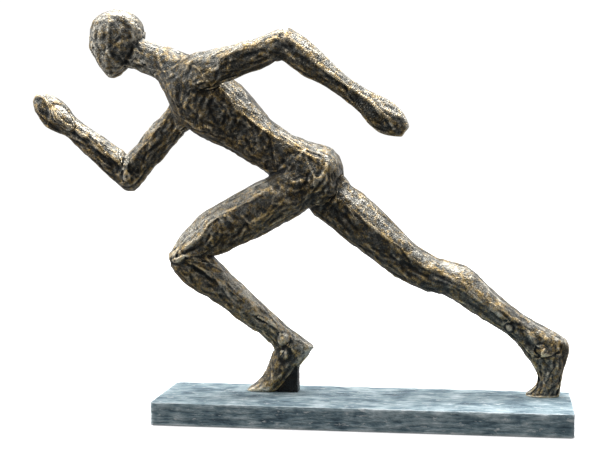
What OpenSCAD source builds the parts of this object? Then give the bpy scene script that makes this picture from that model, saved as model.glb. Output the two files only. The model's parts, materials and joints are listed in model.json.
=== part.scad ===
// Figure trophy: a running figure cast in bronze-filled resin, pinned together from six castings and
// standing on a slate-coloured base block. Millimetres. +Z up, +X towards the rear foot, +Y away from
// the side the figure shows. Origin: centre of the underside of the base, on the face it rests on.

/* [Base] */
// Length of the base block along X
base_length = 300; // [290:1:340]
// Depth of the base block along Y
base_depth = 85; // [80:1:110]
// Height from the table to the top of the base block
base_height = 17; // [15:0.5:24]
// Radius of the four upright corners of the base block
corner_radius = 2.5; // [1:0.5:6]
// Thickness of the felt sheet under the base
felt_thickness = 1.5; // [1:0.1:2.5]
// Width of the bare rim left around the felt sheet
felt_inset = 4; // [2:0.5:8]

/* [Figure] */
// Number of flats around each casting
flats = 24; // [16:2:28]
// Depth of the hand-worked facets on the castings
facet_depth = 0.35; // [0:0.05:0.8]
// How square the limb sections are, where 2 is an ellipse
limb_squareness = 2.2; // [2:0.1:2.8]
// How square the head's sections are, where 2 is an ellipse
head_squareness = 2.9; // [2:0.1:3.4]

/* [Pins and rods] */
// Diameter of the dowels in the neck and the shoulders
small_dowel_d = 5; // [4:0.5:6]
// Diameter of the dowels in the hips
hip_dowel_d = 8; // [6:0.5:9]
// Diameter of the two upright rods that run from under the base up into the ankles
rod_d = 4; // [3:0.5:5]
// Gap all round a dowel or a rod that the glue fills
glue_gap = 0.1; // [0.05:0.05:0.3]

/* [Fixings] */
// Outside diameter of the washers under the base
washer_d = 12; // [10:0.5:13]
// Thickness of the washers
washer_thickness = 1; // [0.8:0.1:1.5]
// Height of the nuts
nut_height = 3.2; // [2.4:0.2:4]
// Diameter of the two pockets that the nuts sit in
pocket_d = 15; // [14:0.5:18]

/* [Hidden] */

bronze = [0.40, 0.34, 0.25];
slate = [0.36, 0.42, 0.45];
steel = [0.62, 0.63, 0.65];
felt = [0.10, 0.11, 0.12];

felt_recess = felt_thickness - 0.3;
felt_top = felt_thickness;
pocket_top = base_height * 0.5;
nut_flats = rod_d * 1.75;
nut_clearance = 0.02;
refine_steps = 2;
rod_facets = 40;
socket_extra = 0.5;

// Where each rod passes through the base block, and how far down it reaches.
front_rod_x = -58;
front_rod_y = 15.5;
rear_rod_x = 131;
rear_rod_y = 24.5;
rod_bottom = pocket_top - washer_thickness - nut_height - 1;

// ---------------------------------------------------------------------------------------------
// Joints of the figure: x, y and height above the top of the base block.

crown = [-186, 14, 286];
chin = [-192, 14, 235];
neck_top = [-187, 14, 258];
neck = [-153, 14, 245];
chest = [-118, 15, 216];
waist = [-75, 16, 184];
pelvis = [-36, 17, 160];
seat = [-26, 17, 152];
left_shoulder = [-102, -16, 242];
left_elbow = [-54, -25, 256];
left_fingers = [31, -21, 194];
right_shoulder = [-151, 42, 202];
right_elbow = [-190, 50, 162];
right_fingers = [-263, 41, 221];
left_hip = [-59, 5, 148];
left_knee = [-129, 4, 110];
left_shin_top = [-128, 6, 94];
left_ankle = [-62, 17, 40];
left_heel = [-55, 17, 31];
right_hip = [-27, 28, 144];
right_knee = [41, 28, 89];
right_calf = [65, 27, 84];
right_ankle = [119, 25, 45];
right_heel = [135, 24, 30];

// A section through a limb at a point: the way the limb runs there, half the width and half the depth.
// It is held as [x, z of one edge, x, z of the other edge, y, half depth].
function section(p, heading, w, d) = [
  p[0] + w * sin(heading), p[2] - w * cos(heading),
  p[0] - w * sin(heading), p[2] + w * cos(heading),
  p[1], d
];

// A section square to the line from a to b, a share t of the way along it, and turned if wanted.
function on(a, b, t, w, d, turned = 0) =
  section(a + (b - a) * t, atan2(b[2] - a[2], b[0] - a[0]) + turned, w, d);

// Sections shared by two castings, where they meet face to face.
neck_joint = section(neck, -17, 13.4, 12.5);
left_shoulder_joint = section(left_shoulder, 5, 12.5, 10);
right_shoulder_joint = section(right_shoulder, -144, 12, 10.5);
left_hip_joint = section(left_hip, -131, 19, 17);
right_hip_joint = section(right_hip, -46, 18, 17);

torso_stations = [
  neck_joint,
  on(neck, chest, 0.25, 17, 19.5, 16),
  on(neck, chest, 0.45, 20.5, 24, 11),
  on(neck, chest, 0.7, 23.7, 27, 1),
  section(chest, -42, 25.5, 28),
  on(chest, waist, 0.3, 23.7, 26, -5),
  on(chest, waist, 0.6, 20.2, 22, -5),
  section(waist, -37, 17.5, 20),
  on(waist, pelvis, 0.45, 19, 20.5),
  on(waist, pelvis, 0.75, 22.4, 23.5, 4),
  section(pelvis, -26, 23.6, 25),
  on(pelvis, seat, 0.6, 20.7, 22, 5),
  section(seat, -38, 13.7, 14)
];

left_shoulder_root = [-139, 0, 232];
left_shoulder_stub = [
  on(left_shoulder_root, left_shoulder, 0, 10, 8, -10),
  on(left_shoulder_root, left_shoulder, 0.35, 15, 11, -12),
  on(left_shoulder_root, left_shoulder, 0.67, 14.5, 11.5, -12),
  left_shoulder_joint
];

right_shoulder_root = [-113, 28, 235];
right_shoulder_stub = [
  on(right_shoulder_root, right_shoulder, 0, 14, 9),
  on(right_shoulder_root, right_shoulder, 0.35, 16.3, 11.5),
  on(right_shoulder_root, right_shoulder, 0.7, 15, 12),
  right_shoulder_joint
];

left_hip_root = [-31, 12, 169];
left_hip_stub = [
  on(left_hip_root, left_hip, 0, 13, 14),
  on(left_hip_root, left_hip, 0.5, 17, 16.5),
  left_hip_joint
];

right_hip_root = [-43, 22, 164];
right_hip_stub = [
  on(right_hip_root, right_hip, 0, 15, 13),
  on(right_hip_root, right_hip, 0.5, 17, 16.5),
  right_hip_joint
];

head_stations = [
  on(crown, chin, 0, 2, 4, 6),
  on(crown, chin, 0.07, 11.5, 11, 6),
  on(crown, chin, 0.16, 17.3, 14.5, 6),
  on(crown, chin, 0.3, 20.2, 16, 6),
  on(crown, chin, 0.46, 20, 15.5, 6),
  on(crown, chin, 0.62, 17.5, 14.5, 6),
  on(crown, chin, 0.84, 10, 10.5, 6),
  on(crown, chin, 1, 1.5, 3, 6)
];

neck_stations = [
  on(neck_top, neck, 0, 8.5, 9),
  on(neck_top, neck, 0.25, 12, 10),
  on(neck_top, neck, 0.6, 12.5, 10.6),
  neck_joint
];

// From the deltoid over the elbow to the finger tips.
left_arm_stations = [
  left_shoulder_joint,
  on(left_shoulder, left_elbow, 0.33, 11.2, 9),
  on(left_shoulder, left_elbow, 0.68, 10.2, 8.7),
  section(left_elbow, -15, 11.5, 9.5),
  on(left_elbow, left_fingers, 0.24, 10, 8.5),
  on(left_elbow, left_fingers, 0.5, 7.6, 7),
  on(left_elbow, left_fingers, 0.64, 8, 6.5),
  on(left_elbow, left_fingers, 0.8, 11.2, 6.5),
  on(left_elbow, left_fingers, 0.92, 9.2, 5.5),
  on(left_elbow, left_fingers, 1, 4.3, 3)
];

// From the shoulder round the elbow to the finger tips.
right_arm_stations = [
  right_shoulder_joint,
  on(right_shoulder, right_elbow, 0.35, 11.6, 9.8),
  on(right_shoulder, right_elbow, 0.7, 11.3, 9.2),
  section(right_elbow, -167, 13.6, 10),
  on(right_elbow, right_fingers, 0.1, 13.2, 9.5, 30),
  on(right_elbow, right_fingers, 0.35, 10.5, 8, 14),
  on(right_elbow, right_fingers, 0.6, 8.5, 6.5, 10),
  on(right_elbow, right_fingers, 0.71, 11.2, 7, 5),
  on(right_elbow, right_fingers, 0.81, 12, 7),
  on(right_elbow, right_fingers, 0.93, 9, 6),
  on(right_elbow, right_fingers, 1, 3.2, 2.5)
];

// From the thigh over the knee, down the shin and along the foot to the toes.
left_leg_stations = [
  left_hip_joint,
  on(left_hip, left_knee, 0.3, 18.7, 16.7),
  on(left_hip, left_knee, 0.56, 18, 15.5),
  on(left_hip, left_knee, 0.82, 16.3, 14),
  section(left_knee + [-1, 1, -8], -90, 16.8, 13),
  on(left_shin_top, left_ankle, 0.13, 17.5, 12.3, -36),
  on(left_shin_top, left_ankle, 0.32, 15.5, 11.8, -33),
  on(left_shin_top, left_ankle, 0.55, 12, 10.8, -27),
  on(left_shin_top, left_ankle, 0.8, 9.6, 9, -15),
  on(left_shin_top, left_ankle, 0.98, 10.5, 8, -27),
  section(left_heel + [-1, 0, 4], -80, 14.3, 8.5),
  section(left_heel, -86, 15.6, 8.5),
  section(left_heel + [-6, 0, -10], -90, 12.8, 8),
  section(left_heel + [-13, 0, -21], -93, 10.2, 8.5),
  section(left_heel + [-21, 0, -29], -106, 9.2, 9),
  section(left_heel + [-32, -1, -33], -120, 4, 6)
];

// From the thigh over the knee and the calf to the heel and the toes.
right_leg_stations = [
  right_hip_joint,
  on(right_hip, right_knee, 0.33, 17.4, 16),
  on(right_hip, right_knee, 0.6, 15.2, 14.9),
  on(right_hip, right_knee, 0.85, 14.4, 13.6, -8),
  on(right_knee, right_calf, 0.45, 14, 13, -20),
  section(right_calf, -38, 13.8, 12.5),
  on(right_calf, right_ankle, 0.3, 12.3, 12),
  on(right_calf, right_ankle, 0.6, 10.6, 10.2),
  on(right_calf, right_ankle, 0.9, 10.4, 8.3, -8),
  section(right_heel + [-6, 0, 8], -51, 15, 8.4),
  section(right_heel, -58, 15.6, 8.5),
  section(right_heel + [1, 0, -9], -64, 11.5, 8),
  section(right_heel + [-1, 0, -20], -78, 9.2, 8.2),
  section(right_heel + [-5, 0.5, -28], -88, 12, 9),
  section(right_heel + [-6, 1, -33], -90, 12.5, 8.5)
];

// ---------------------------------------------------------------------------------------------
// Geometry helpers

// Smooth curve through neighbouring stations.
function blend(p, q, r, s, t) =
  0.5 * (2 * q + (r - p) * t + (2 * p - 5 * q + 4 * r - s) * t * t + (3 * q - p - 3 * r + s) * t * t * t);
function pick(list, i) = list[max(0, min(len(list) - 1, i))];
function refined(list, steps) = [
  for (i = [0 : len(list) - 2])
    for (k = [0 : steps - 1])
      blend(pick(list, i - 1), list[i], list[i + 1], pick(list, i + 2), k / steps),
  list[len(list) - 1]
];

// Signed power, for a section between an ellipse and a rectangle.
function soft(v, e) = sign(v) * pow(abs(v), 2 / e);

// Shallow hand-worked facets: none on the first and the last section, which meet other castings.
function facet(i, last, j) =
  (i == 0 || i == last) ? 0 : facet_depth * sin(137 * j + 71 * i) * cos(53 * i - 29 * j);

function ring(s, e, i, last) = [
  for (j = [0 : flats - 1])
    let (
      a = 360 * j / flats,
      along = soft(cos(a), e),
      across = soft(sin(a), e),
      half_x = (s[0] - s[2]) / 2,
      half_z = (s[1] - s[3]) / 2,
      size = max(norm([half_x, half_z]), 1),
      grow = facet(i, last, j)
    )
    [
      (s[0] + s[2]) / 2 + half_x * along * (1 + grow / size),
      s[4] + (s[5] + grow) * across,
      (s[1] + s[3]) / 2 + half_z * along * (1 + grow / size)
    ]
];

// Positive when the sections advance to the left of their own edge direction.
function turn(a, b) =
  (a[2] - a[0]) * ((b[1] + b[3]) - (a[1] + a[3])) - (a[3] - a[1]) * ((b[0] + b[2]) - (a[0] + a[2]));

function reversed(f, yes) = yes ? [for (k = [len(f) - 1 : -1 : 0]) f[k]] : f;

// Closed skin through a list of stations.
module limb(stations, e) {
  s = refined(stations, refine_steps);
  last = len(s) - 1;
  flip = turn(stations[0], stations[1]) > 0;
  points = [for (i = [0 : last]) each ring(s[i], e, i, last)];
  sides = [
    for (i = [0 : last - 1])
      for (j = [0 : flats - 1])
        let (k = (j + 1) % flats, a = i * flats, b = a + flats)
        each [[a + j, b + j, b + k], [a + j, b + k, a + k]]
  ];
  caps = [
    [for (j = [0 : flats - 1]) j],
    [for (j = [flats - 1 : -1 : 0]) last * flats + j]
  ];
  polyhedron(points = points, faces = [for (f = concat(sides, caps)) reversed(f, flip)], convexity = 6);
}

// Egg-shaped swelling: centre, three radii, tilt about Y.
module swelling(centre, radii, tilt) {
  translate(centre)
    rotate([0, tilt, 0])
      scale(radii)
        sphere(r = 1, $fn = 20);
}

// Round bar between two points.
module bar(p, q, d) {
  v = q - p;
  translate(p)
    rotate([0, acos(v[2] / norm(v)), atan2(v[1], v[0])])
      cylinder(h = norm(v), d = d, $fn = rod_facets);
}

// Everything under the top of the base block, to trim the feet flat.
module under_base_top() {
  translate([-400, -400, -60])
    cube([800, 800, 60]);
}

// ---------------------------------------------------------------------------------------------
// Dowels: the two ends of each, heights above the top of the base block.

neck_pin = [[-141, 14, 239.5], [-166, 14, 247.5]];
left_shoulder_pin = [[-116, -13, 239], [-88, -18.5, 246]];
right_shoulder_pin = [[-142, 38.5, 213], [-159.5, 45, 192]];
left_hip_pin = [[-47, 6.5, 158], [-70, 3, 138.5]];
right_hip_pin = [[-38, 27, 154], [-16, 29, 133]];

module dowel(ends, d) {
  translate([0, 0, base_height])
    bar(ends[0], ends[1], d);
}

// The hole for a dowel, a little wider and longer than the dowel.
module socket(ends, d) {
  unit = (ends[1] - ends[0]) / norm(ends[1] - ends[0]);
  bar(ends[0] - unit * socket_extra, ends[1] + unit * socket_extra, d + 2 * glue_gap);
}

// ---------------------------------------------------------------------------------------------
// Rods: straight up out of the base through the foot to the ankle. Heights as above.

front_rod_top = 38;
rear_rod_top = 40;

// An upright bar from the height low to the height high.
module rod(x, y, d, low, high) {
  translate([x, y, low])
    cylinder(h = high - low, d = d, $fn = rod_facets);
}

// The hole for a rod inside a casting.
module rod_bore(x, y, high) {
  rod(x, y, rod_d + 2 * glue_gap, -1, high + socket_extra);
}

module stud(x, y, high) {
  translate([0, 0, base_height])
    rod(x, y, rod_d, rod_bottom - base_height, high);
}

module washer(x, y) {
  translate([x, y, pocket_top - washer_thickness])
    difference() {
      cylinder(h = washer_thickness, d = washer_d, $fn = 48);
      translate([0, 0, -1])
        cylinder(h = washer_thickness + 2, d = rod_d + 0.4, $fn = 32);
    }
}

module nut(x, y) {
  translate([x, y, pocket_top - washer_thickness - nut_height])
    difference() {
      cylinder(h = nut_height, d = nut_flats / cos(30), $fn = 6);
      translate([0, 0, -1])
        cylinder(h = nut_height + 2, d = rod_d + 2 * nut_clearance, $fn = 32);
    }
}

module slab(l, d, h, r) {
  translate([-l / 2 + r, -d / 2, 0])
    cube([l - 2 * r, d, h]);
  translate([-l / 2, -d / 2 + r, 0])
    cube([l, d - 2 * r, h]);
  for (x = [-1, 1])
    for (y = [-1, 1])
      translate([x * (l / 2 - r), y * (d / 2 - r), 0])
        cylinder(h = h, r = r, $fn = 32);
}

// ---------------------------------------------------------------------------------------------
// Base

// Solid block with a shallow recess for the felt and two pockets for the nuts.
module base_block() {
  color(slate)
    difference() {
      translate([0, 0, felt_thickness - felt_recess])
        slab(base_length, base_depth, base_height - felt_thickness + felt_recess, corner_radius);
      translate([-base_length / 2 + felt_inset, -base_depth / 2 + felt_inset, -1])
        cube([base_length - 2 * felt_inset, base_depth - 2 * felt_inset, felt_top + 1]);
      for (p = [[front_rod_x, front_rod_y], [rear_rod_x, rear_rod_y]]) {
        translate([p[0], p[1], 0])
          cylinder(h = pocket_top, d = pocket_d, $fn = 48);
        translate([p[0], p[1], 1])
          cylinder(h = base_height, d = rod_d + 0.4, $fn = 32);
      }
    }
}

module base_felt() {
  gap = 0.2;
  color(felt)
    translate([-base_length / 2 + felt_inset + gap, -base_depth / 2 + felt_inset + gap, 0])
      cube([base_length - 2 * (felt_inset + gap), base_depth - 2 * (felt_inset + gap), felt_thickness]);
}

// Small block between the base and the raised heel of the front foot.
module heel_prop() {
  color(bronze)
    translate([0, 0, base_height])
      difference() {
        resize([0, 0, 0])
          difference() {
            translate([-66, 11, 0])
              cube([15.5, 12, 20]);
            limb(left_leg_stations, limb_squareness);
          }
        rod_bore(front_rod_x, front_rod_y, front_rod_top);
      }
}

// ---------------------------------------------------------------------------------------------
// Castings

// Chest, belly and pelvis with the roots of all four limbs.
module torso() {
  color(bronze)
    translate([0, 0, base_height])
      difference() {
        resize([0, 0, 0])
          union() {
            limb(torso_stations, limb_squareness + 0.2);
            limb(left_shoulder_stub, limb_squareness);
            limb(right_shoulder_stub, limb_squareness);
            limb(left_hip_stub, limb_squareness);
            limb(right_hip_stub, limb_squareness);
            swelling([-35.5, 8, 160], [14.5, 17, 19.5], -8);
            swelling([-35.5, 26, 160], [14.5, 16, 19.5], -8);
          }
        socket(neck_pin, small_dowel_d);
        socket(left_shoulder_pin, small_dowel_d);
        socket(right_shoulder_pin, small_dowel_d);
        socket(left_hip_pin, hip_dowel_d);
        socket(right_hip_pin, hip_dowel_d);
      }
}

// Featureless block head on a forward-leaning neck.
module head() {
  color(bronze)
    translate([0, 0, base_height])
      difference() {
        resize([0, 0, 0])
          union() {
            limb(head_stations, head_squareness);
            limb(neck_stations, limb_squareness);
          }
        socket(neck_pin, small_dowel_d);
      }
}

// Arm swung back, ending in a closed mitten hand.
module left_arm() {
  color(bronze)
    translate([0, 0, base_height])
      difference() {
        resize([0, 0, 0])
          limb(left_arm_stations, limb_squareness);
        socket(left_shoulder_pin, small_dowel_d);
      }
}

// Arm swung forward, ending in an open hand with a thumb.
module right_arm() {
  color(bronze)
    translate([0, 0, base_height])
      difference() {
        resize([0, 0, 0])
          union() {
            limb(right_arm_stations, limb_squareness);
            swelling([-238, 36, 206], [6, 5, 11], -35);
          }
        socket(right_shoulder_pin, small_dowel_d);
      }
}

// Leg stepping forward, on its toes.
module left_leg() {
  color(bronze)
    translate([0, 0, base_height])
      difference() {
        resize([0, 0, 0])
          difference() {
            union() {
              limb(left_leg_stations, limb_squareness);
              swelling([-136, -5, 102], [5, 5, 6], 0);
              swelling([-61, 10, 40], [5, 4, 5], 0);
            }
            under_base_top();
          }
        socket(left_hip_pin, hip_dowel_d);
        rod_bore(front_rod_x, front_rod_y, front_rod_top);
      }
}

// Leg pushing off behind, standing on its toes.
module right_leg() {
  color(bronze)
    translate([0, 0, base_height])
      difference() {
        resize([0, 0, 0])
          difference() {
            union() {
              limb(right_leg_stations, limb_squareness);
              swelling([128, 17, 35], [5, 3.5, 5], 0);
            }
            under_base_top();
          }
        socket(right_hip_pin, hip_dowel_d);
        rod_bore(rear_rod_x, rear_rod_y, rear_rod_top);
      }
}

// ---------------------------------------------------------------------------------------------
// Steel parts inside

module neck_dowel() {
  color(steel)
    dowel(neck_pin, small_dowel_d);
}

module left_shoulder_dowel() {
  color(steel)
    dowel(left_shoulder_pin, small_dowel_d);
}

module right_shoulder_dowel() {
  color(steel)
    dowel(right_shoulder_pin, small_dowel_d);
}

module left_hip_dowel() {
  color(steel)
    dowel(left_hip_pin, hip_dowel_d);
}

module right_hip_dowel() {
  color(steel)
    dowel(right_hip_pin, hip_dowel_d);
}

module front_stud() {
  color(steel)
    stud(front_rod_x, front_rod_y, front_rod_top);
}

module rear_stud() {
  color(steel)
    stud(rear_rod_x, rear_rod_y, rear_rod_top);
}

module front_washer() {
  color(steel)
    washer(front_rod_x, front_rod_y);
}

module rear_washer() {
  color(steel)
    washer(rear_rod_x, rear_rod_y);
}

module front_nut() {
  color(steel)
    nut(front_rod_x, front_rod_y);
}

module rear_nut() {
  color(steel)
    nut(rear_rod_x, rear_rod_y);
}

base_block();
base_felt();
heel_prop();
torso();
head();
left_arm();
right_arm();
left_leg();
right_leg();
neck_dowel();
left_shoulder_dowel();
right_shoulder_dowel();
left_hip_dowel();
right_hip_dowel();
front_stud();
rear_stud();
front_washer();
rear_washer();
front_nut();
rear_nut();
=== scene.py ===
import json
import math

import bmesh
import bpy
import numpy as np
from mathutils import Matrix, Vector, noise
from mathutils.bvhtree import BVHTree

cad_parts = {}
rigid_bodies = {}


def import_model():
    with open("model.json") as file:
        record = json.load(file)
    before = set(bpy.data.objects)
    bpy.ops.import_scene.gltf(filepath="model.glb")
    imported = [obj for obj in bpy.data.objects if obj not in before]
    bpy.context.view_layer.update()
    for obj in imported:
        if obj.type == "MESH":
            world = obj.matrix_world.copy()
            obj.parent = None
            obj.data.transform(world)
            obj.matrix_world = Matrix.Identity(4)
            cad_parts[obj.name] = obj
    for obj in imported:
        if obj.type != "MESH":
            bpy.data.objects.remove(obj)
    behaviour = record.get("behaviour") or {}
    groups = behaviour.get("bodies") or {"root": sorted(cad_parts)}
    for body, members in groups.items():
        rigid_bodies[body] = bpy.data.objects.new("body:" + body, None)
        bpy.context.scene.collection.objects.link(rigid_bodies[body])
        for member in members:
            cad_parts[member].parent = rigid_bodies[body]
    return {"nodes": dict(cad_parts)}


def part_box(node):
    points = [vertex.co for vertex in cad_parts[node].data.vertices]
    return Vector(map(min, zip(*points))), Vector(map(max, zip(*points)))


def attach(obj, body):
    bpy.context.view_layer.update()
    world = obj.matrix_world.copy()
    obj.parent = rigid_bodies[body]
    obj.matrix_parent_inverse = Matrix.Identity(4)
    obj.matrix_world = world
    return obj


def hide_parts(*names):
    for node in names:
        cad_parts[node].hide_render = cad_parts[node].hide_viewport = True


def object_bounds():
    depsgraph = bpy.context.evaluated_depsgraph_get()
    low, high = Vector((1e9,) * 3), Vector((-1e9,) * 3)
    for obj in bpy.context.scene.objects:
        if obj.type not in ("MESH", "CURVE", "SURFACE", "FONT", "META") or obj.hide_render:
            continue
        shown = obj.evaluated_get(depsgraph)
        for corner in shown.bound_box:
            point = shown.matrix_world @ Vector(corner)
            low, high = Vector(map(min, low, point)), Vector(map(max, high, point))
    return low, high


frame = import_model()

cad_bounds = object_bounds()
rng = np.random.default_rng(20)

MM = 0.001
CASTINGS = ["torso", "head", "left_arm", "right_arm", "left_leg", "right_leg"]

# Edge of the remeshed quads, in millimetres.
SKIN_VOXEL = 0.7
BASE_VOXEL = 1.0
PROP_VOXEL = 0.6

# How far the castings' skin is smoothed and then let out again, in rounds and millimetres.
RELAX_ROUNDS = 8
LET_OUT = 0.35

# Rounds of smoothing that a point's height is taken over, for fine marks and for whole forms.
FINE_ROUNDS = 5
BROAD_ROUNDS = 60

# The camera: degrees round the figure and above it, metres away, and the offset in metres of what it
# looks at from the middle of the part. Lens and sensor in millimetres.
CAMERA_TURN = 8.4
CAMERA_RISE = 3.47
CAMERA_AWAY = 0.9828
AIM_RIGHT = 0.01265
AIM_UP = -0.0091
LENS = 78.45
SENSOR = 36.0

# The studio: how bright floor, dome and world are, the way the world is brightest, and its light from
# the opposite side (0) to that side (1). Lights in watts.
FLOOR_GLOW = 0.75
DOME_GLOW = 1.05
WORLD_LIGHT = 1.0
BRIGHT_SIDE = (0.0, 0.55, 0.835)
SKY = [(0.0, 0.16), (0.40, 0.22), (0.55, 0.34), (0.70, 0.6), (1.0, 0.8)]
OVERHEAD_POWER = 78
LEFT_POWER = 7


# ------------------------------------------------------------------------------------------
# Meshes as arrays, in millimetres

def node_arrays(name):
    """Points in millimetres and triangles of a CAD node."""
    me = frame["nodes"][name].data
    v = np.empty(len(me.vertices) * 3)
    me.vertices.foreach_get("co", v)
    me.calc_loop_triangles()
    t = np.empty(len(me.loop_triangles) * 3, dtype=np.int64)
    me.loop_triangles.foreach_get("vertices", t)
    return v.reshape(-1, 3) / MM, t.reshape(-1, 3)


def node_box(name):
    """Low and high corner of a CAD node, in millimetres."""
    low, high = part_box(name)
    return np.array(low) / MM, np.array(high) / MM


def remeshed(parts, voxel):
    """One skin of small quads round the given (points, triangles)."""
    points, faces, n = [], [], 0
    for v, t in parts:
        points.append(v * MM)
        faces.append(t + n)
        n += len(v)
    me = bpy.data.meshes.new("raw")
    me.from_pydata(np.concatenate(points).tolist(), [], np.concatenate(faces).tolist())
    o = bpy.data.objects.new("raw", me)
    bpy.context.scene.collection.objects.link(o)
    m = o.modifiers.new("remesh", "REMESH")
    m.mode = "VOXEL"
    m.voxel_size = voxel * MM
    out = bpy.data.meshes.new_from_object(o.evaluated_get(bpy.context.evaluated_depsgraph_get()))
    v = np.empty(len(out.vertices) * 3)
    out.vertices.foreach_get("co", v)
    q = np.empty(len(out.loops), dtype=np.int64)
    out.loops.foreach_get("vertex_index", q)
    bpy.data.objects.remove(o)
    bpy.data.meshes.remove(me)
    bpy.data.meshes.remove(out)
    return v.reshape(-1, 3) / MM, q.reshape(-1, 4)


class Skin:
    """A quad mesh in millimetres with what sculpting it needs. A held point never moves."""

    def __init__(self, v, q):
        self.v, self.q = v, q
        e = np.concatenate([q[:, [0, 1]], q[:, [1, 2]], q[:, [2, 3]], q[:, [3, 0]]])
        e = np.unique(np.sort(e, axis=1), axis=0)
        self.a, self.b = e[:, 0], e[:, 1]
        self.degree = np.bincount(e.reshape(-1), minlength=len(v)).astype(float)
        self.free = np.ones(len(v))
        self.find_normals()

    def find_normals(self):
        p = self.v[self.q]
        f = np.cross(p[:, 2] - p[:, 0], p[:, 3] - p[:, 1])
        total = len(self.v)
        n = np.stack(
            [sum(np.bincount(self.q[:, k], f[:, c], total) for k in range(4)) for c in range(3)],
            axis=1,
        )
        self.n = n / np.maximum(np.linalg.norm(n, axis=1, keepdims=True), 1e-12)

    def mean(self, x):
        """The mean of x over each point's neighbours."""
        n = len(self.v)
        if x.ndim == 1:
            return (np.bincount(self.a, x[self.b], n) + np.bincount(self.b, x[self.a], n)) / self.degree
        return np.stack([self.mean(x[:, k]) for k in range(x.shape[1])], axis=1)

    def smoothed(self, x, times, amount=0.6):
        for _ in range(times):
            x = x + amount * (self.mean(x) - x)
        return x

    def relax(self, times):
        """Smooths without shrinking."""
        w = self.free[:, None]
        for _ in range(times):
            self.v = self.v + 0.6 * w * (self.mean(self.v) - self.v)
            self.v = self.v - 0.62 * w * (self.mean(self.v) - self.v)
        self.find_normals()

    def push(self, height):
        """Moves each point out along its normal, in millimetres."""
        self.v = self.v + self.n * (height * self.free)[:, None]
        self.find_normals()

    def relief(self, times):
        """Height of each point over its smoothed surroundings."""
        return ((self.v - self.smoothed(self.v, times)) * self.n).sum(axis=1)


class Cells:
    """Finds the points near a place."""

    def __init__(self, v, size=6.0):
        self.v, self.size = v, size
        self.low = v.min(axis=0) - size
        k = ((v - self.low) / size).astype(int)
        self.span = k.max(axis=0) + 2
        flat = (k[:, 0] * self.span[1] + k[:, 1]) * self.span[2] + k[:, 2]
        self.order = np.argsort(flat, kind="stable")
        self.flat = flat[self.order]

    def near(self, p, r):
        lo = np.maximum(((p - r - self.low) / self.size).astype(int), 0)
        hi = np.minimum(((p + r - self.low) / self.size).astype(int), self.span - 1)
        found = []
        for x in range(lo[0], hi[0] + 1):
            for y in range(lo[1], hi[1] + 1):
                row = (x * self.span[1] + y) * self.span[2]
                i, j = np.searchsorted(self.flat, [row + lo[2], row + hi[2] + 1])
                found.append(self.order[i:j])
        ids = np.concatenate(found)
        return ids[((self.v[ids] - p) ** 2).sum(axis=1) < r * r]


def ramp(x, a, b):
    """0 below a, 1 above b, smooth between."""
    t = np.clip((x - a) / (b - a), 0, 1)
    return t * t * (3 - 2 * t)


def waves(v, size, seed):
    """Smooth noise about -1 to 1 at the points."""
    at = (v / size + seed * 17.3).tolist()
    return np.array([noise.noise(Vector(p)) for p in at])


# ------------------------------------------------------------------------------------------
# The skin over all six castings

def shared_joint(a, b):
    """Centre, unit normal (from a to b) and radius of the flat face two castings share."""
    keys = [{tuple(p) for p in np.round(castings[x][0], 3)} for x in (a, b)]
    ring = np.array(sorted(keys[0] & keys[1]))
    centre = ring.mean(axis=0)
    normal = np.linalg.svd(ring - centre)[2][2]
    side = castings[b][0].mean(axis=0) - centre
    return centre, normal * (1 if side @ normal > 0 else -1), np.linalg.norm(ring - centre, axis=1).max()


def nearest_casting(skin):
    """The number of the casting each point of the skin lies on, parted at the joint planes."""
    best = np.full(len(skin.v), 1e9)
    label = np.zeros(len(skin.v), dtype=int)
    for i, name in enumerate(CASTINGS):
        v, t = castings[name]
        tree = BVHTree.FromPolygons(v.tolist(), t.tolist())
        near = np.flatnonzero(np.all((skin.v > v.min(axis=0) - 4) & (skin.v < v.max(axis=0) + 4), axis=1))
        d = np.array([tree.find_nearest(p)[3] for p in skin.v[near].tolist()])
        win = d < best[near]
        best[near[win]] = d[win]
        label[near[win]] = i
    for name, (centre, normal, radius) in joints.items():
        i = CASTINGS.index(name)
        out = skin.v - centre
        near = (np.linalg.norm(out, axis=1) < radius * 1.45) & ((label == 0) | (label == i))
        label[near] = np.where(out[near] @ normal > 0, i, 0)
    return label


def one_piece(skin, label):
    """Gives any stray patch of a label to the casting round it."""
    for i in range(len(CASTINGS)):
        group = np.where(label == i, np.arange(len(skin.v)), -1)
        same = (label[skin.a] == i) & (label[skin.b] == i)
        a, b = skin.a[same], skin.b[same]
        while True:
            new = group.copy()
            np.maximum.at(new, a, group[b])
            np.maximum.at(new, b, group[a])
            new = np.where(new >= 0, new[new], -1)
            if (new == group).all():
                break
            group = new
        names, size = np.unique(group[group >= 0], return_counts=True)
        stray = (group >= 0) & (group != names[size.argmax()])
        while stray.any():
            edge = stray[skin.a] != stray[skin.b]
            if not edge.any():
                break
            inner = np.where(stray[skin.a], skin.a, skin.b)[edge]
            outer = np.where(stray[skin.a], skin.b, skin.a)[edge]
            label[inner] = label[outer]
            stray[inner] = False
    return label


def stud_axis(name):
    """Centre, radius and top of a stud, in millimetres."""
    low, high = node_box(name)
    return (low + high) / 2, (high[0] - low[0]) / 2, high[2]


def held_points(skin, floor):
    """How freely each point may move: 1 nearly everywhere, 0 on the soles and in the stud bores."""
    free = ramp(skin.v[:, 2], floor + 0.3, floor + 2.0)
    for name in ("front_stud", "rear_stud"):
        centre, radius, top = stud_axis(name)
        off = np.hypot(skin.v[:, 0] - centre[0], skin.v[:, 1] - centre[1])
        free = np.where((off < radius + 1.2) & (skin.v[:, 2] < top + 2), 0.0, free)
    return free


# ------------------------------------------------------------------------------------------
# Limb segments, found from the castings themselves

TIP_REACH = 14.0


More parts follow.
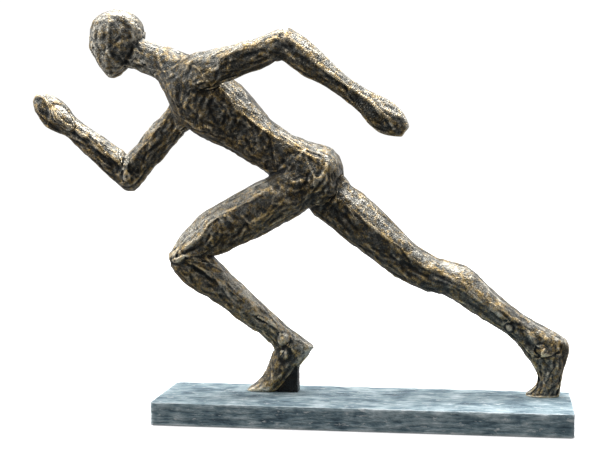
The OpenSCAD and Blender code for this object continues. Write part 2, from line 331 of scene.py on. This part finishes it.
def tip(name, way):
    """Middle of the end of a casting that lies farthest that way."""
    v = castings[name][0]
    way = np.array(way, dtype=float)
    far = v[(v @ way).argmax()]
    return v[np.linalg.norm(v - far, axis=1) < TIP_REACH].mean(axis=0)


def find_segments():
    """Each segment: its casting, and its start and end."""
    neck, hips = joints["head"][0], (joints["left_leg"][0] + joints["right_leg"][0]) / 2
    near_elbow, near_hand = tip("left_arm", (0, 0, 1)), tip("left_arm", (1, 0, -0.5))
    far_elbow, far_hand = tip("right_arm", (0, 0, -1)), tip("right_arm", (-1, 0, 0.5))
    knee, toe = tip("left_leg", (-1, 0, 0)), tip("left_leg", (-0.5, 0, -1))
    heel = tip("left_leg", (0.6, 0, -1))
    rear_heel, rear_toe = tip("right_leg", (1, 0, 0)), tip("right_leg", (-0.2, 0, -1))
    rear_hip = joints["right_leg"][0]
    rear_knee = (rear_hip + rear_heel) / 2
    return {
        "trunk": ("torso", neck, hips),
        "skull": ("head", *node_box("head")),
        "near_upper_arm": ("left_arm", joints["left_arm"][0], near_elbow),
        "near_forearm": ("left_arm", near_elbow, near_hand),
        "far_upper_arm": ("right_arm", joints["right_arm"][0], far_elbow),
        "far_forearm": ("right_arm", far_elbow, far_hand),
        "front_thigh": ("left_leg", joints["left_leg"][0], knee),
        "front_shin": ("left_leg", knee, heel),
        "front_foot": ("left_leg", heel, toe),
        "rear_thigh": ("right_leg", rear_hip, rear_knee),
        "rear_shin": ("right_leg", rear_knee, rear_heel),
        "rear_foot": ("right_leg", rear_heel, rear_toe),
    }


class Segment:
    """The skin points of one limb segment, with how far along (0 to 1) and across (-1 to 1) each lies."""

    def __init__(self, skin, share, start, end, rivals):
        d = (end - start)[[0, 2]]
        self.length = math.hypot(*d)
        d = d / self.length
        up = np.array([-d[1], d[0]]) * (1 if d[0] > 0 else -1)
        p = skin.v[:, [0, 2]] - start[[0, 2]]
        t = p @ d / self.length
        off = np.hypot(p @ up, (t - np.clip(t, 0, 1)) * self.length)
        mine = off < np.min(rivals + [np.full(len(p), 1e9)], axis=0) + 4
        self.ids = np.flatnonzero((share > 0.02) & (t > -0.15) & (t < 1.15) & mine)
        self.t = t[self.ids]
        self.share = share[self.ids] * ramp(np.abs(skin.n[self.ids, 1]), 0.05, 0.35)
        raw = (p @ up)[self.ids]
        places = np.linspace(-0.1, 1.1, 13)
        low, high = [], []
        for k in places:
            near = np.abs(self.t - k) < 0.08
            low.append(np.percentile(raw[near], 2) if near.sum() > 20 else np.nan)
            high.append(np.percentile(raw[near], 98) if near.sum() > 20 else np.nan)
        low, high = np.array(low), np.array(high)
        good = ~np.isnan(low)
        low = np.interp(self.t, places[good], low[good])
        high = np.interp(self.t, places[good], high[good])
        self.half = np.maximum((high - low) / 2, 3)
        self.c = (raw - (low + high) / 2) / self.half

    def off_line(self, t0, c0, t1, c1):
        """Distance in millimetres from a line drawn on the segment, and how far along it, 0 to 1."""
        k = np.clip((self.t - t0) / (t1 - t0), 0, 1) if t1 != t0 else np.full(len(self.t), 0.5)
        across = (self.c - (c0 + (c1 - c0) * k)) * self.half
        beyond = (self.t - (t0 + (t1 - t0) * k)) * self.length
        return np.hypot(across, beyond), k


def off_from(skin, start, end):
    """Distance of each point from the line between two points, seen from the side."""
    d = (end - start)[[0, 2]]
    length = math.hypot(*d)
    p = skin.v[:, [0, 2]] - start[[0, 2]]
    t = np.clip(p @ d / length ** 2, 0, 1)
    return np.linalg.norm(p - t[:, None] * d, axis=1)


def lay_segments(skin, label):
    """Every segment laid on the skin. Those of one casting overlap a little where they meet."""
    ends = find_segments()
    off = {k: off_from(skin, start, end) for k, (name, start, end) in ends.items()}
    share = {c: skin.smoothed((label == i).astype(float), 25) for i, c in enumerate(CASTINGS)}
    laid = {}
    for k, (name, start, end) in ends.items():
        rivals = [off[r] for r in ends if r != k and ends[r][0] == name]
        laid[k] = Segment(skin, share[name], start, end, rivals)
    return laid


# ------------------------------------------------------------------------------------------
# Marks worked into the segments, the same on both sides

# One crest runs along each limb, between its top plane and its side: where across it starts and ends.
# Places are shares along a segment (0 to 1) and across it (-1 to 1). Rises and widths are millimetres.
CREST_RISE = 0.9
CREST_WIDTH = 1.6
CRESTS = {
    "near_upper_arm": (0.30, 0.45), "near_forearm": (0.45, 0.10), "far_upper_arm": (0.40, 0.30),
    "far_forearm": (0.20, 0.35), "front_thigh": (0.45, 0.30), "front_shin": (0.40, 0.45),
    "rear_thigh": (0.25, 0.35), "rear_shin": (0.30, 0.40), "trunk": (0.45, 0.55),
}

# (segment, kind, rise, width, start along and across, end along and across)
DETAILS = [
    ("front_thigh", "groove", 1.2, 1.9, (0.65, 0.10), (1.0, 0.0)),
    ("front_thigh", "ridge", 0.7, 1.2, (0.70, -0.15), (0.95, -0.2)),
    ("front_shin", "groove", 0.9, 1.4, (0.1, 0.15), (0.45, 0.2)),
    ("rear_thigh", "groove", 0.9, 1.8, (0.6, -0.2), (0.9, -0.1)),
    ("rear_shin", "ridge", 0.8, 1.1, (0.2, -0.05), (0.6, 0.1)),
    ("far_forearm", "groove", 0.6, 2.5, (0.1, -0.1), (0.6, -0.1)),
    ("trunk", "groove", 0.8, 2.0, (0.8, -0.1), (1.0, 0.1)),
    ("trunk", "groove", 1.8, 6.0, (0.35, 0.15), (0.42, 0.0)),
]

# Round bosses: (segment, rise, radius, where along, where across)
BOSSES = [
    ("front_shin", 1.0, 4.0, 0.0, 0.0),
    ("front_shin", 0.9, 3.4, 0.88, 0.1),
    ("rear_shin", 0.9, 2.4, 0.6, -0.3),
    ("rear_shin", 1.3, 5.0, 0.92, -0.2),
]

# The flat let into each side of the head, as shares of the head's box.
PANEL_MIDDLE = (0.46, 0.54)
PANEL_HALF = (0.155, 0.33)
PANEL_DEPTH = 0.6
PANEL_RIM = 0.15

# How much paler than the torso whole castings are made.
PALER_CASTINGS = {"head": 0.8, "left_leg": 0.4}


def ridge_shape(off, k, rise, width):
    """A narrow crest on broad sloping flanks."""
    taper = np.clip(np.minimum(k, 1 - k) * 6, 0, 1) * 0.6 + 0.4
    crest = np.exp(-(off / width) ** 2)
    flank = np.clip(1 - off / (width * 5.5), 0, 1)
    return rise * taper * (0.6 * crest + 1.7 * flank)


def head_panel(skin, label):
    """How far each point lies inside the head's side panel, 0 to 1, and how near it is to the rim."""
    low, high = node_box("head")
    x = (skin.v[:, 0] - low[0]) / (high[0] - low[0])
    z = (skin.v[:, 2] - low[2]) / (high[2] - low[2])
    off_x = np.abs((x - PANEL_MIDDLE[0]) / PANEL_HALF[0])
    off_z = np.abs((z - PANEL_MIDDLE[1]) / PANEL_HALF[1])
    r = (off_x ** 3 + off_z ** 3) ** (1 / 3)
    share = (label == CASTINGS.index("head")) * ramp(np.abs(skin.n[:, 1]), 0.1, 0.4)
    return share * (1 - ramp(r, 0.75, 1.05)), share * np.exp(-((r - 1.08) / 0.12) ** 2)


def work_marks(skin, label, segments):
    """Raises the crests, ridges and bosses, and sinks the grooves and the head's panels."""
    height = np.zeros(len(skin.v))
    wander = waves(skin.v, 7.0, 1)
    for name, (c0, c1) in CRESTS.items():
        s = segments[name]
        off, k = s.off_line(0.05, c0, 0.95, c1)
        height[s.ids] += s.share * ridge_shape(np.abs(off + wander[s.ids]), k, CREST_RISE, CREST_WIDTH)
    for name, kind, rise, width, start, end in DETAILS:
        s = segments[name]
        off, k = s.off_line(*start, *end)
        off = np.abs(off + wander[s.ids])
        shape = ridge_shape(off, k, rise, width) if kind == "ridge" else -rise * np.exp(-(off / width) ** 2)
        height[s.ids] += s.share * shape
    for name, rise, radius, t, c in BOSSES:
        s = segments[name]
        off, k = s.off_line(t, c, t, c)
        ring = np.exp(-((off - radius * 1.5) / (radius * 0.4)) ** 2)
        height[s.ids] += s.share * rise * (np.exp(-(off / radius) ** 4) - 0.5 * ring)
    within, rim = head_panel(skin, label)
    skin.push(height + PANEL_RIM * rim - PANEL_DEPTH * within)


def paint(skin, label, segments):
    """How pale (+) or dark (-) each point is painted, and how gilded. Pale above a crest as painted light on
    the top plane, dark below it as painted shade on the side, and gilded below.
    """
    tone_and_painted_light, warm = np.zeros(len(skin.v)), np.zeros(len(skin.v))
    for name, (c0, c1) in CRESTS.items():
        s = segments[name]
        over = s.c - (c0 + (c1 - c0) * np.clip(s.t, 0, 1))
        # Painted light on the top plane above the crest, painted shade on the side below it.
        tone_and_painted_light[s.ids] += s.share * (0.8 * ramp(over, 0.0, 0.35) - 0.35 * ramp(-over, 0.05, 0.5))
        gilded = 0.45 * ramp(-over, 0.2, 0.9) + 0.5 * np.exp(-(over / 0.12) ** 2)
        warm[s.ids] = np.maximum(warm[s.ids], s.share * gilded)
    within, rim = head_panel(skin, label)
    for name, pale in PALER_CASTINGS.items():
        tone_and_painted_light += pale * (label == CASTINGS.index(name))
    return tone_and_painted_light - 0.45 * within + 0.2 * rim, warm


# ------------------------------------------------------------------------------------------
# Tool work all over: flats trimmed with a knife, and strokes laid along the limbs

# Numbers of marks. Each mark draws its measures, in millimetres, from the ranges given here.
TRIMS = 420
TRIM_REACH = (14, 34)
TRIM_DEPTH = (0.5, 1.1)
TRIM_TILT = 0.05
TRIM_DEEPEST = 1.4
TRIM_SHARE = 0.85

STROKES = 5200
STROKE_LENGTH = (2, 12)
STROKE_WIDTH = (0.7, 1.7)
STROKE_RISE = (0.05, 0.20)
STROKE_TURN = 0.3
STROKE_BEND = 0.02
STROKES_HIGHEST = 1.0

# The grain at a point is the long direction of the skin this near to it, in at most about twice so
# many points.
GRAIN_REACH = 24.0
GRAIN_POINTS = 300


def grain(cells, p, n):
    """The direction in the skin along which the limb runs at p."""
    ids = cells.near(p, GRAIN_REACH)
    if len(ids) > GRAIN_POINTS:
        ids = ids[:: len(ids) // GRAIN_POINTS]
    around = cells.v[ids]
    axis = np.linalg.svd(around - around.mean(axis=0), full_matrices=False)[2][0]
    flat = axis - n * (axis @ n)
    size = np.linalg.norm(flat)
    if size < 0.2:
        flat = np.cross(n, [0.3, 1.0, 0.2])
        size = np.linalg.norm(flat)
    return flat / size


def trim_flats(skin):
    """Cuts long flats along the limbs, each a plane laid a little under the skin."""
    cells = Cells(skin.v)
    target = np.zeros(len(skin.v))
    for k in rng.integers(0, len(skin.v), TRIMS):
        p = skin.v[k]
        reach = rng.uniform(*TRIM_REACH)
        ids = cells.near(p, reach)
        ids = ids[skin.n[ids] @ skin.n[k] > 0.35]
        out = skin.v[ids] - p
        far = np.linalg.norm(out, axis=1)
        m = skin.n[ids[far < 6]].mean(axis=0) + rng.normal(0, TRIM_TILT, 3)
        m /= np.linalg.norm(m)
        over = out @ m + rng.uniform(*TRIM_DEPTH)
        fade = 1 - ramp(far, reach * 0.6, reach)
        target[ids] = np.minimum(target[ids], -np.clip(over, 0, TRIM_DEEPEST) * TRIM_SHARE * fade)
    skin.push(target)


def lay_strokes(skin):
    """Lays short strokes along the limbs, about half raised and half cut, weaker where the skin faces up."""
    cells = Cells(skin.v)
    height = np.zeros(len(skin.v))
    for k in rng.integers(0, len(skin.v), STROKES):
        p, n = skin.v[k], skin.n[k]
        along = grain(cells, p, n)
        across = np.cross(n, along)
        turn = rng.normal(0, STROKE_TURN)
        along, across = (
            along * math.cos(turn) + across * math.sin(turn),
            across * math.cos(turn) - along * math.sin(turn),
        )
        length, width = rng.uniform(*STROKE_LENGTH), rng.uniform(*STROKE_WIDTH)
        bend = rng.normal(0, STROKE_BEND)
        side = 1 - ramp(n[2], 0.1, 0.6)
        rise = rng.choice([-1, 1]) * rng.uniform(*STROKE_RISE) * (0.7 + 1.1 * side)
        width *= 1 + 0.3 * side
        ids = cells.near(p, length + width * 2)
        out = skin.v[ids] - p
        t, s = out @ along, out @ across
        s = s + bend * t * t
        off = np.hypot(s, np.maximum(np.abs(t) - length, 0) * 0.7)
        facing = np.clip(skin.n[ids] @ n, 0, 1) ** 2
        height[ids] += rise * facing * np.exp(-(off / width) ** 2)
    skin.push(np.clip(height, -STROKES_HIGHEST, STROKES_HIGHEST))


castings = {name: node_arrays(name) for name in CASTINGS}
joints = {name: shared_joint("torso", name) for name in CASTINGS if name != "torso"}
base_top = node_box("base_block")[1][2]

skin = Skin(*remeshed(list(castings.values()), SKIN_VOXEL))
skin.free = held_points(skin, base_top)
label = one_piece(skin, nearest_casting(skin))
skin.relax(RELAX_ROUNDS)
skin.push(np.full(len(skin.v), LET_OUT))
segments = lay_segments(skin, label)
work_marks(skin, label, segments)
trim_flats(skin)
lay_strokes(skin)
skin.v[:, 2] = np.maximum(skin.v[:, 2], base_top)
skin.find_normals()
tone_and_painted_light, warm = paint(skin, label, segments)
fine = skin.relief(FINE_ROUNDS)
broad = skin.relief(BROAD_ROUNDS)


# ------------------------------------------------------------------------------------------
# Parting the skin into the castings

def seam_to_plane(skin, face_label):
    """Moves the points between two castings onto the joint's plane."""
    touch = np.zeros((len(CASTINGS), len(skin.v)), dtype=bool)
    for i in range(len(CASTINGS)):
        touch[i, skin.q[face_label == i].reshape(-1)] = True
    for name, (centre, normal, radius) in joints.items():
        seam = touch[0] & touch[CASTINGS.index(name)]
        near = np.flatnonzero(seam & (np.linalg.norm(skin.v - centre, axis=1) < radius * 1.6))
        off = (skin.v[near] - centre) @ normal
        near, off = near[np.abs(off) < 1.5], off[np.abs(off) < 1.5]
        skin.v[near] -= off[:, None] * normal


def new_mesh(name, v, faces):
    """A new object from points in millimetres and faces."""
    me = bpy.data.meshes.new(name)
    me.from_pydata((v * MM).tolist(), [], faces)
    o = bpy.data.objects.new(name, me)
    bpy.context.scene.collection.objects.link(o)
    return o


def add_values(me, name, values):
    """Stores a value for each point, which materials read by name. Points added since get 0."""
    at = me.attributes.new(name, "FLOAT", "POINT")
    full = np.zeros(len(me.vertices))
    full[: len(values)] = values
    at.data.foreach_set("value", full)


def rims(bm):
    """The open edges of a mesh, one list for each loop."""
    left = {e for e in bm.edges if len(e.link_faces) == 1}
    while left:
        loop, todo = [], [left.pop()]
        while todo:
            e = todo.pop()
            loop.append(e)
            near = {x for v in e.verts for x in v.link_edges} & left
            left -= near
            todo.extend(near)
        yield loop


def capped(o):
    """Closes every open loop of the mesh with flat triangles."""
    bm = bmesh.new()
    bm.from_mesh(o.data)
    for loop in list(rims(bm)):
        bmesh.ops.triangle_fill(bm, use_beauty=True, use_dissolve=False, edges=loop)
    bmesh.ops.holes_fill(bm, edges=[e for e in bm.edges if len(e.link_faces) == 1], sides=0)
    bmesh.ops.recalc_face_normals(bm, faces=bm.faces)
    bm.to_mesh(o.data)
    bm.free()


def casting_piece(skin, i, face_label, values):
    """The visible piece of one casting, cut out of the skin and closed at its joints."""
    name = CASTINGS[i]
    q = skin.q[face_label == i]
    used = np.unique(q)
    place = np.full(len(skin.v), -1)
    place[used] = np.arange(len(used))
    o = new_mesh("skin_" + name, skin.v[used], place[q].tolist())
    capped(o)
    me = o.data
    for key, x in values.items():
        add_values(me, key, x[used])
    normals = np.zeros((len(me.vertices), 3))
    normals[: len(used)] = skin.n[used]
    me.polygons.foreach_set("use_smooth", [True] * len(me.polygons))
    me.normals_split_custom_set_from_vertices(normals.tolist())
    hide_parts(name)
    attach(o, "root")
    return o


face_label = np.sort(label[skin.q], axis=1)[:, 1]
face_label = np.where((label[skin.q] == 0).sum(axis=1) >= 2, 0, face_label)
seam_to_plane(skin, face_label)
worked = {"fine": fine, "broad": broad, "tone_and_painted_light": tone_and_painted_light, "warm": warm}
castings_made = [casting_piece(skin, i, face_label, worked) for i in range(len(CASTINGS))]


# ------------------------------------------------------------------------------------------
# Materials

class Nodes:
    """A material's nodes, made and joined by name."""

    def __init__(self, name):
        self.material = bpy.data.materials.new(name)
        self.material.use_nodes = True
        self.tree = self.material.node_tree
        self.shader = self.tree.nodes["Principled BSDF"]

    def add(self, kind, links=None, **settings):
        node = self.tree.nodes.new(kind)
        for k, x in settings.items():
            setattr(node, k, x)
        for k, x in (links or {}).items():
            self.set(node, k, x)
        return node

    def set(self, node, k, x):
        if isinstance(x, bpy.types.NodeSocket):
            self.tree.links.new(x, node.inputs[k])
        else:
            node.inputs[k].default_value = x

    def math(self, operation, a, b=0.0, clamp=False):
        return self.add("ShaderNodeMath", {0: a, 1: b}, operation=operation, use_clamp=clamp).outputs[0]

    def place(self, stretch=(1, 1, 1)):
        at = self.add("ShaderNodeNewGeometry").outputs["Position"]
        return self.add("ShaderNodeMapping", {"Vector": at, "Scale": stretch}).outputs[0]

    def noise(self, size, detail=3.0, rough=0.55, stretch=(1, 1, 1)):
        """Noise 0 to 1 with patches of that size in metres."""
        links = {"Vector": self.place(stretch), "Scale": 1 / size, "Detail": detail, "Roughness": rough}
        return self.add("ShaderNodeTexNoise", links).outputs["Fac"]

    def value(self, name):
        """The value that add_values stored under that name."""
        return self.add("ShaderNodeAttribute", attribute_name=name).outputs["Fac"]

    def ramp(self, x, stops):
        node = self.add("ShaderNodeValToRGB", {"Fac": x})
        e = node.color_ramp.elements
        while len(e) < len(stops):
            e.new(0.5)
        for s, (at, colour) in zip(e, stops):
            s.position = at
            s.color = (*colour, 1)
        return node.outputs["Color"]

    def span(self, x, a, b, low=0.0, high=1.0):
        """low where x is under a, high where it is over b, smooth between."""
        links = {"Value": x, "From Min": a, "From Max": b, "To Min": low, "To Max": high}
        return self.add("ShaderNodeMapRange", links, interpolation_type="SMOOTHSTEP").outputs["Result"]

    def mix(self, fac, a, b):
        """Colour a where fac is 0 and colour b where it is 1. The colour sockets have no unique names."""
        node = self.add("ShaderNodeMix", {"Factor": fac}, data_type="RGBA", blend_type="MIX")
        for k, x in ((6, a), (7, b)):
            if isinstance(x, bpy.types.NodeSocket):
                self.tree.links.new(x, node.inputs[k])
            else:
                node.inputs[k].default_value = (*x, 1)
        return node.outputs[2]

    def bump(self, height, depth, normal=None):
        links = {"Height": height, "Distance": depth, "Strength": 1.0}
        if normal is not None:
            links["Normal"] = normal
        return self.add("ShaderNodeBump", links).outputs["Normal"]


def bronze():
    """Blue-black and brown patina rubbed through to gold on whatever stands up, with painted light and shade
    laid over it.
    """
    m = Nodes("aged_bronze")
    fine, broad, tone_and_painted_light, warm = (m.value(k) for k in ("fine", "broad", "tone_and_painted_light", "warm"))
    speck = m.noise(0.0010, 1.0, 0.6)
    patch = m.noise(0.0040, 4.0, 0.75)
    area = m.noise(0.02, 2.0)
    hue = m.noise(0.0045, 4.0, 0.75)
    rub_and_painted_light = m.math("ADD", m.math("MULTIPLY", fine, 3.4), m.math("MULTIPLY", broad, 0.26))
    for x, share in ((speck, 1.0), (patch, 1.4), (area, 0.6)):
        rub_and_painted_light = m.math("ADD", rub_and_painted_light, m.math("MULTIPLY", m.math("SUBTRACT", x, 0.5), share))
    # The tone adds painted light and shade: paler on the top planes above the crests, darker on the sides
    # below them.
    rub_and_painted_light = m.math("ADD", rub_and_painted_light, m.math("MULTIPLY", tone_and_painted_light, 0.35))
    rub_and_painted_light = m.math("ADD", m.math("MULTIPLY", rub_and_painted_light, 0.5), 0.42, clamp=True)
    cool = m.ramp(rub_and_painted_light, [
        (0.0, (0.010, 0.012, 0.013)),
        (0.25, (0.032, 0.036, 0.037)),
        (0.42, (0.095, 0.100, 0.095)),
        (0.58, (0.23, 0.225, 0.205)),
        (0.76, (0.50, 0.47, 0.40)),
        (1.0, (0.92, 0.88, 0.78)),
    ])
    gilt = m.ramp(rub_and_painted_light, [
        (0.0, (0.013, 0.010, 0.007)),
        (0.25, (0.045, 0.034, 0.017)),
        (0.42, (0.135, 0.098, 0.045)),
        (0.58, (0.34, 0.24, 0.10)),
        (0.76, (0.70, 0.50, 0.23)),
        (1.0, (1.0, 0.82, 0.52)),
    ])
    golden = m.math("ADD", m.span(hue, 0.45, 0.62, 0.12, 1.0), m.math("MULTIPLY", warm, 0.55))
    golden = m.math("ADD", golden, m.math("MULTIPLY", fine, 0.6))
    golden = m.math("SUBTRACT", golden, m.math("MULTIPLY", m.math("ABSOLUTE", tone_and_painted_light), 0.4), clamp=True)
    m.set(m.shader, "Base Color", m.mix(golden, cool, gilt))
    m.set(m.shader, "Metallic", 0.85)
    m.set(m.shader, "Roughness", m.span(patch, 0.3, 0.7, 0.34, 0.5))
    m.set(m.shader, "Coat Weight", 0.25)
    m.set(m.shader, "Coat Roughness", 0.35)
    low = m.bump(m.noise(0.003, 3.0, 0.65), 0.0008)
    m.set(m.shader, "Normal", m.bump(speck, 0.0010, low))
    return m.material


def slate():
    """Blue-grey stone paint with a pale wash brushed along it, and a painted highlight along its raised
    edges.
    """
    m = Nodes("slate_stone")
    streak = m.noise(0.0022, 3.0, 0.6, (0.16, 1, 1))
    patch = m.noise(0.02, 3.0, 0.6)
    speck = m.noise(0.0015, 2.0)
    # Painted highlight: the raised-edge relief makes the edges of the base paler.
    edge = m.value("fine")
    tone_and_painted_light = m.math("ADD", m.math("MULTIPLY", streak, 0.5), m.math("MULTIPLY", patch, 0.5))
    tone_and_painted_light = m.math("ADD", tone_and_painted_light, m.math("MULTIPLY", edge, 0.5))
    chips = m.span(m.noise(0.0035, 4.0, 0.8, (0.35, 1, 1)), 0.58, 0.65)
    colour = m.ramp(tone_and_painted_light, [
        (0.36, (0.050, 0.092, 0.125)),
        (0.46, (0.165, 0.245, 0.290)),
        (0.56, (0.36, 0.46, 0.50)),
        (0.70, (0.76, 0.84, 0.87)),
    ])
    colour = m.mix(m.math("MULTIPLY", chips, 0.7), colour, (0.80, 0.84, 0.84))
    m.set(m.shader, "Base Color", colour)
    m.set(m.shader, "Roughness", 0.78)
    low = m.bump(streak, 0.0012)
    m.set(m.shader, "Normal", m.bump(speck, 0.0005, low))
    return m.material


def steel(name, colour, rough):
    m = Nodes(name)
    grain = m.noise(0.0008, 2.0, 0.5, (1, 1, 0.2))
    m.set(m.shader, "Base Color", m.mix(grain, tuple(c * 0.75 for c in colour), colour))
    m.set(m.shader, "Metallic", 1.0)
    m.set(m.shader, "Roughness", m.span(grain, 0.2, 0.8, rough - 0.08, rough + 0.08))
    m.set(m.shader, "Normal", m.bump(grain, 0.00005))
    return m.material


def felt():
    m = Nodes("dark_felt")
    fibre = m.noise(0.0006, 4.0, 0.7)
    m.set(m.shader, "Base Color", m.mix(fibre, (0.008, 0.009, 0.010), (0.04, 0.042, 0.045)))
    m.set(m.shader, "Roughness", 0.95)
    m.set(m.shader, "Sheen Weight", 0.3)
    m.set(m.shader, "Normal", m.bump(fibre, 0.0004))
    return m.material


bronze_material = bronze()
for o in castings_made:
    o.data.materials.append(bronze_material)


# ------------------------------------------------------------------------------------------
# Base, prop and hidden parts

# The top of the base stays flat this far round a foot's rod and round the prop, in millimetres.
FOOT_REACH = 34
PROP_REACH = 16


def smooth_piece(name, node, skin, material, values):
    """A visible piece in place of a CAD node, made of a whole skin."""
    o = new_mesh(name, skin.v, skin.q.tolist())
    me = o.data
    for k, x in values.items():
        add_values(me, k, x)
    me.polygons.foreach_set("use_smooth", [True] * len(me.polygons))
    me.materials.append(material)
    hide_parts(node)
    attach(o, "root")


def make_base():
    """The base block, gently uneven, but flat where the feet and the prop stand and round the rods."""
    s = Skin(*remeshed([node_arrays("base_block")], BASE_VOXEL))
    low, high = node_box("base_block")
    s.free = ramp(s.v[:, 2], low[2] + 0.2, low[2] + 2.0)
    inside = np.zeros(len(s.v), dtype=bool)
    for name in ("front_stud", "rear_stud"):
        centre, radius, _ = stud_axis(name)
        inside |= np.hypot(s.v[:, 0] - centre[0], s.v[:, 1] - centre[1]) < radius + 7
    s.free = np.where(inside & (s.v[:, 2] < high[2] - 0.2), 0.0, s.free)
    s.relax(2)
    wave = waves(s.v * [1, 1, 0.6], 34.0, 5) * 0.45 + waves(s.v, 9.0, 6) * 0.22 + waves(s.v, 3.0, 7) * 0.08
    for name, reach in (("front_stud", FOOT_REACH), ("rear_stud", FOOT_REACH), ("heel_prop", PROP_REACH)):
        centre = sum(node_box(name)) / 2
        gap = np.hypot(s.v[:, 0] - centre[0], s.v[:, 1] - centre[1]) - reach
        wave = wave * np.where(s.v[:, 2] > high[2] - 1.5, ramp(gap, 0, 10), 1.0)
    s.push(wave - 0.15 * (s.n[:, 2] < 0.5))
    s.v[:, 2] = np.clip(s.v[:, 2], low[2], high[2])
    s.find_normals()
    smooth_piece("stone_base", "base_block", s, slate(), {"fine": s.relief(6)})


def make_prop():
    """The dark block under the raised heel."""
    s = Skin(*remeshed([node_arrays("heel_prop")], PROP_VOXEL))
    low, high = node_box("heel_prop")
    s.free = ramp(s.v[:, 2], low[2] + 0.1, low[2] + 1.0)
    s.relax(2)
    s.push(waves(s.v, 4.0, 8) * 0.35 + waves(s.v, 1.5, 9) * 0.12 - 0.1)
    worn = {"fine": s.relief(FINE_ROUNDS) * 0.3 - 0.22, "broad": np.zeros(len(s.v))}
    smooth_piece("heel_block", "heel_prop", s, bronze_material, worn)


make_base()
make_prop()
bright_steel = steel("bright_steel", (0.62, 0.63, 0.65), 0.28)
zinc_steel = steel("zinc_steel", (0.55, 0.56, 0.57), 0.4)
by_ending = {
    "_dowel": bright_steel, "_stud": bright_steel, "_washer": zinc_steel, "_nut": zinc_steel, "_felt": felt(),
}
for name, o in frame["nodes"].items():
    for ending, material in by_ending.items():
        if name.endswith(ending):
            o.data.materials.clear()
            o.data.materials.append(material)


# ------------------------------------------------------------------------------------------
# Stage, light and camera

def camera_only(o):
    """The object is seen, but neither lights the figure nor shows in it."""
    o.visible_diffuse = False
    o.visible_glossy = False
    o.visible_shadow = False


def make_stage():
    """A white floor that takes soft shadows, inside a white dome."""
    bpy.ops.mesh.primitive_plane_add(size=12, location=(0, 0, cad_bounds[0][2] - 0.0002))
    floor = bpy.context.object
    floor.name = "floor"
    m = Nodes("studio_white")
    m.set(m.shader, "Base Color", (0.8, 0.8, 0.8, 1))
    m.set(m.shader, "Roughness", 0.9)
    m.set(m.shader, "Emission Color", (1, 1, 1, 1))
    m.set(m.shader, "Emission Strength", FLOOR_GLOW)
    floor.data.materials.append(m.material)
    camera_only(floor)
    bpy.ops.mesh.primitive_uv_sphere_add(segments=48, ring_count=24, radius=7, location=(0, 0, 0))
    dome = bpy.context.object
    dome.name = "dome"
    m = Nodes("studio_dome")
    m.set(m.shader, "Base Color", (0, 0, 0, 1))
    m.set(m.shader, "Emission Color", (1, 1, 1, 1))
    m.set(m.shader, "Emission Strength", DOME_GLOW)
    dome.data.materials.append(m.material)
    camera_only(dome)


def make_world():
    """Light from all round that falls off towards the ground."""
    world = bpy.data.worlds.new("studio")
    bpy.context.scene.world = world
    world.use_nodes = True
    tree = world.node_tree
    back = tree.nodes["Background"]
    way = tree.nodes.new("ShaderNodeTexCoord").outputs["Generated"]
    facing = tree.nodes.new("ShaderNodeVectorMath")
    facing.operation = "DOT_PRODUCT"
    facing.inputs[1].default_value = BRIGHT_SIDE
    tree.links.new(way, facing.inputs[0])
    fade = tree.nodes.new("ShaderNodeValToRGB")
    lift = tree.nodes.new("ShaderNodeMath")
    lift.operation = "MULTIPLY_ADD"
    lift.inputs[1].default_value = 0.5
    lift.inputs[2].default_value = 0.5
    tree.links.new(facing.outputs["Value"], lift.inputs[0])
    tree.links.new(lift.outputs[0], fade.inputs["Fac"])
    e = fade.color_ramp.elements
    while len(e) < len(SKY):
        e.new(0.5)
    for s, (at, light) in zip(e, SKY):
        s.position = at
        s.color = (light, light, light, 1)
    tree.links.new(fade.outputs["Color"], back.inputs["Color"])
    back.inputs["Strength"].default_value = WORLD_LIGHT


def area_light(name, where, target, size, power):
    """A white rectangle of light, unseen by the camera."""
    data = bpy.data.lights.new(name, "AREA")
    data.shape = "RECTANGLE"
    data.size, data.size_y = size
    data.energy = power
    o = bpy.data.objects.new(name, data)
    bpy.context.scene.collection.objects.link(o)
    o.location = where
    o.rotation_euler = (Vector(target) - Vector(where)).to_track_quat("-Z", "Y").to_euler()
    o.visible_camera = False


middle = (Vector(cad_bounds[0]) + Vector(cad_bounds[1])) / 2


def make_lights():
    area_light("overhead", middle + Vector((-0.1, 0.35, 2.0)), middle, (2.0, 1.4), OVERHEAD_POWER)
    area_light("left", middle + Vector((-1.3, -0.2, 0.3)), middle, (0.5, 0.9), LEFT_POWER)


def make_camera():
    turn, rise = math.radians(CAMERA_TURN), math.radians(CAMERA_RISE)
    forward = Vector((-math.sin(turn) * math.cos(rise), math.cos(turn) * math.cos(rise), -math.sin(rise)))
    right = forward.cross(Vector((0, 0, 1))).normalized()
    up = right.cross(forward)
    data = bpy.data.cameras.new("camera")
    data.lens = LENS
    data.sensor_width = SENSOR
    data.clip_end = 50
    o = bpy.data.objects.new("camera", data)
    bpy.context.scene.collection.objects.link(o)
    o.location = middle + right * AIM_RIGHT + up * AIM_UP - forward * CAMERA_AWAY
    o.rotation_euler = forward.to_track_quat("-Z", "Y").to_euler()
    bpy.context.scene.camera = o


make_stage()
make_world()
make_lights()
make_camera()
bpy.context.scene.view_settings.view_transform = "Standard"
